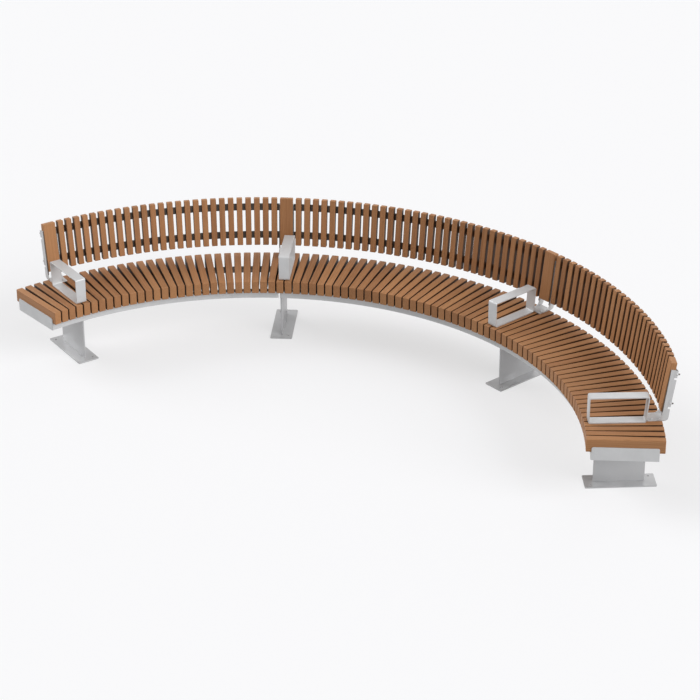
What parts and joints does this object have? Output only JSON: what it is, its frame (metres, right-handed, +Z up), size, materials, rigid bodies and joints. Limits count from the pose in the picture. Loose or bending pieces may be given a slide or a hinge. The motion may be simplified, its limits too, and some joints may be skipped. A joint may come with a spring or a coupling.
{
  "type": "curved park bench",
  "caption": "Curved slatted timber bench on blade legs with bolted foot plates, armrest loops and a reclined slatted back.",
  "frame": {"origin": "middle of the bench's bounding box on the floor", "axes": "+X along the bench, to the right as a person in front of it sees it; +Y from the open side of the curve towards the back; +Z up"},
  "size_m": [4.7056, 1.8214, 0.8487],
  "materials": {
    "timber": "oiled hardwood, fine grain along each slat",
    "satin_steel": "satin, light grey",
    "dark_steel": "dark grey-brown, matt"
  },
  "bodies": {
    "root": {"seat_slats_left": "timber", "front_rail_left": "satin_steel", "back_slats_left": "timber", "upper_back_rail_left": "dark_steel", "seat_slats_middle": "timber", "front_rail_middle": "satin_steel", "back_slats_middle": "timber", "upper_back_rail_middle": "dark_steel", "seat_slats_right": "timber", "front_rail_right": "satin_steel", "back_slats_right": "timber", "upper_back_rail_right": "dark_steel", "end_plate_left": "satin_steel", "end_plate_right": "satin_steel", "foot_plate_left_outer": "satin_steel", "leg_left_outer": "satin_steel", "back_bracket_left_outer": "satin_steel", "back_board_left_outer": "timber", "armrest_left_outer": "satin_steel", "rail_clamp_left_outer_lower": "dark_steel", "rail_clamp_left_outer_upper": "dark_steel", "bracket_bolt_left_outer_a": "satin_steel", "bracket_bolt_left_outer_b": "satin_steel", "foot_plate_left_inner": "satin_steel", "leg_left_inner": "satin_steel", "back_bracket_left_inner": "satin_steel", "back_board_left_inner": "timber", "armrest_left_inner": "satin_steel", "rail_clamp_left_inner_lower": "dark_steel", "rail_clamp_left_inner_upper": "dark_steel", "bracket_bolt_left_inner_a": "satin_steel", "bracket_bolt_left_inner_b": "satin_steel", "foot_plate_right_inner": "satin_steel", "leg_right_inner": "satin_steel", "back_bracket_right_inner": "satin_steel", "back_board_right_inner": "timber", "armrest_right_inner": "satin_steel", "rail_clamp_right_inner_lower": "dark_steel", "rail_clamp_right_inner_upper": "dark_steel", "bracket_bolt_right_inner_a": "satin_steel", "bracket_bolt_right_inner_b": "satin_steel", "foot_plate_right_outer": "satin_steel", "leg_right_outer": "satin_steel", "back_bracket_right_outer": "satin_steel", "back_board_right_outer": "timber", "armrest_right_outer": "satin_steel", "rail_clamp_right_outer_lower": "dark_steel", "rail_clamp_right_outer_upper": "dark_steel", "bracket_bolt_right_outer_a": "satin_steel", "bracket_bolt_right_outer_b": "satin_steel"}
  },
  "joints": []
}
